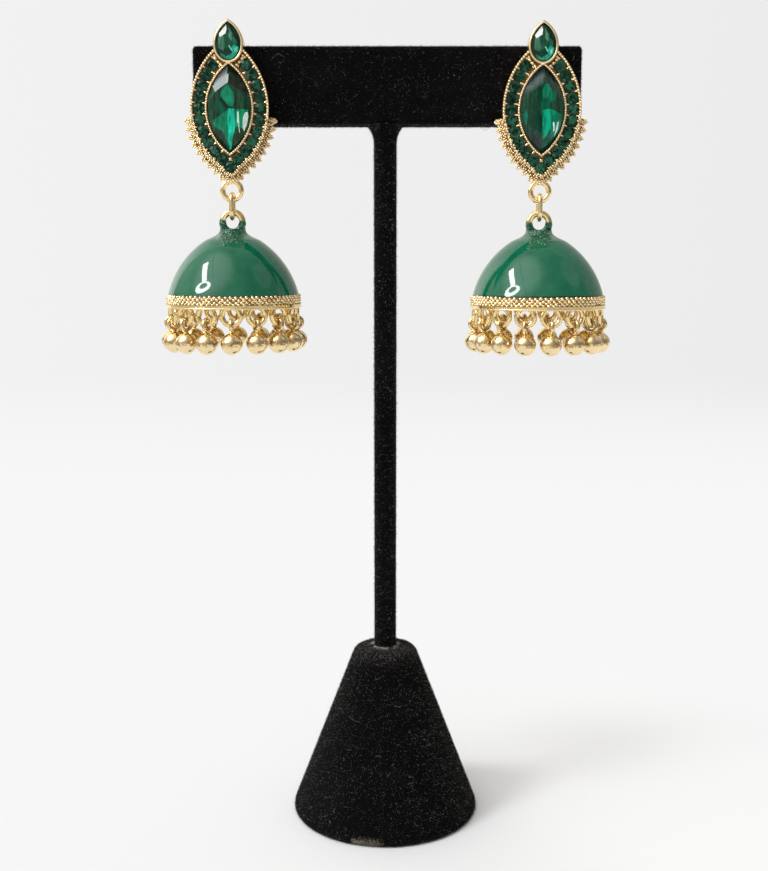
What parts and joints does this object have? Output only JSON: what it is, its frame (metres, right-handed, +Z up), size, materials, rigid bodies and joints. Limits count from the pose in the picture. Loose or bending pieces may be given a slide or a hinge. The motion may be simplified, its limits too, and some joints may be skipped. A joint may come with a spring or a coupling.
{
  "type": "pair of jhumka earrings on a T-bar earring stand",
  "caption": "Pair of green enamel jhumka drop earrings with stone-set studs and ball-fringed bells that swing, shown pinned to a velvet T-bar stand.",
  "frame": {"origin": "centre of the stand's flat underside, on the axis of its rod", "axes": "+Z up along the rod, -Y towards the viewer who faces the studs, +X to that viewer's right"},
  "size_m": [0.0943, 0.041, 0.1711],
  "materials": {
    "velvet": "matte",
    "gold": "polished",
    "green_enamel": "gloss",
    "emerald_glass": "polished"
  },
  "bodies": {
    "stand": {"stand_base": "velvet", "stand_rod": "velvet", "stand_bar": "velvet", "stud_frame_left": "gold", "marquise_stone_left": "emerald_glass", "pear_stone_left": "emerald_glass", "accent_stones_left": "emerald_glass", "ear_clutch_left": "gold", "stud_frame_right": "gold", "marquise_stone_right": "emerald_glass", "pear_stone_right": "emerald_glass", "accent_stones_right": "emerald_glass", "ear_clutch_right": "gold"},
    "link_left": {"drop_link_left": "gold"},
    "bell_left": {"bell_shell_left": "gold", "bell_enamel_left": "green_enamel", "ghungroo_left_01": "gold", "ghungroo_left_02": "gold", "ghungroo_left_03": "gold", "ghungroo_left_04": "gold", "ghungroo_left_05": "gold", "ghungroo_left_06": "gold", "ghungroo_left_07": "gold", "ghungroo_left_08": "gold", "ghungroo_left_09": "gold", "ghungroo_left_10": "gold", "ghungroo_left_11": "gold", "ghungroo_left_12": "gold", "ghungroo_left_13": "gold", "ghungroo_left_14": "gold", "ghungroo_left_15": "gold", "ghungroo_left_16": "gold"},
    "link_right": {"drop_link_right": "gold"},
    "bell_right": {"bell_shell_right": "gold", "bell_enamel_right": "green_enamel", "ghungroo_right_01": "gold", "ghungroo_right_02": "gold", "ghungroo_right_03": "gold", "ghungroo_right_04": "gold", "ghungroo_right_05": "gold", "ghungroo_right_06": "gold", "ghungroo_right_07": "gold", "ghungroo_right_08": "gold", "ghungroo_right_09": "gold", "ghungroo_right_10": "gold", "ghungroo_right_11": "gold", "ghungroo_right_12": "gold", "ghungroo_right_13": "gold", "ghungroo_right_14": "gold", "ghungroo_right_15": "gold", "ghungroo_right_16": "gold"}
  },
  "joints": [
    {"name": "link_swing_left", "type": "hinge", "parent": "stand", "child": "link_left", "pos_m": [-0.0318, -0.0046, 0.1354], "axis": [-1, 0, 0], "range_deg": [-85, 85]},
    {"name": "bell_swing_left", "type": "hinge", "parent": "link_left", "child": "bell_left", "pos_m": [-0.0318, -0.0046, 0.13162], "axis": [0, 1, 0], "range_deg": [-42, 80]},
    {"name": "link_swing_right", "type": "hinge", "parent": "stand", "child": "link_right", "pos_m": [0.032, -0.0046, 0.13515], "axis": [-1, 0, 0], "range_deg": [-85, 85]},
    {"name": "bell_swing_right", "type": "hinge", "parent": "link_right", "child": "bell_right", "pos_m": [0.032, -0.0046, 0.13137], "axis": [0, -1, 0], "range_deg": [-42, 80]}
  ]
}
